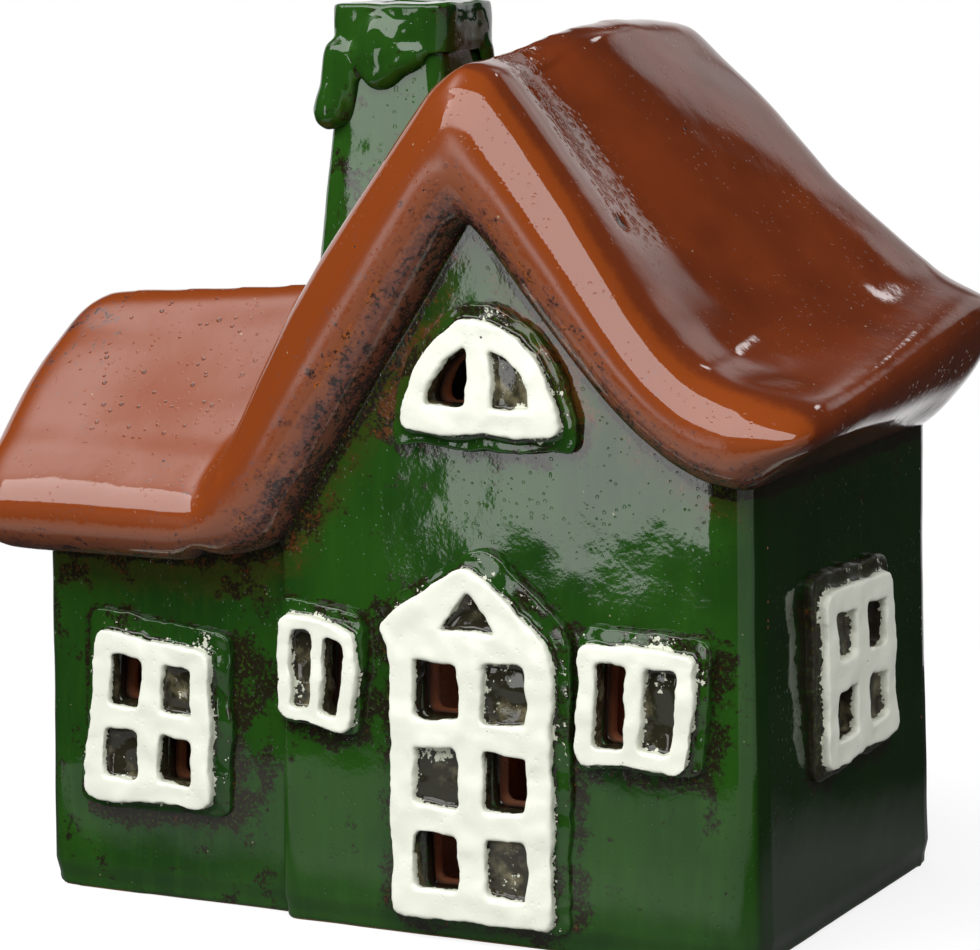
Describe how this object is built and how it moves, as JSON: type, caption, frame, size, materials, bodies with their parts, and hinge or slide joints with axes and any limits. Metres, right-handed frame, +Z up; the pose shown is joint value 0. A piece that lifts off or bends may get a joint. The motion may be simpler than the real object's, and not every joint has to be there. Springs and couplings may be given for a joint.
{
  "type": "ceramic tealight house",
  "caption": "Glazed earthenware gabled house with a lower annex, pierced window plaques, a chimney flue and a rear arch for the tealight that lights it from inside.",
  "frame": {"origin": "on the table, at the middle of the main house's floor slab", "axes": "+X to the house's right seen from its front, -Y out of the front door, +Z up"},
  "size_m": [0.1472, 0.088, 0.1428],
  "materials": {
    "green_glaze": "gloss",
    "brown_glaze": "gloss",
    "white_glaze": "gloss",
    "bare_clay": "matte",
    "cup_metal": "satin",
    "wax": "satin",
    "wick_cotton": "matte"
  },
  "bodies": {
    "house": {"main_floor": "bare_clay", "annex_floor": "bare_clay", "front_wall": "green_glaze", "right_wall": "green_glaze", "rear_wall": "green_glaze", "left_wall": "green_glaze", "annex_front_wall": "green_glaze", "annex_end_wall": "green_glaze", "annex_rear_wall": "green_glaze", "main_roof": "brown_glaze", "annex_roof": "brown_glaze", "chimney_stack": "green_glaze", "chimney_collar": "green_glaze", "front_door": "white_glaze", "gable_window": "white_glaze", "front_left_window": "white_glaze", "front_right_window": "white_glaze", "annex_window": "white_glaze", "side_window": "white_glaze"},
    "tealight": {"tealight_cup": "cup_metal", "tealight_wax": "wax", "tealight_wick": "wick_cotton", "wick_tab": "cup_metal"}
  },
  "joints": [
    {"name": "tealight_slide", "type": "slide", "parent": "house", "child": "tealight", "axis": [0, 1, 0], "range_m": [0, 0.062]}
  ]
}
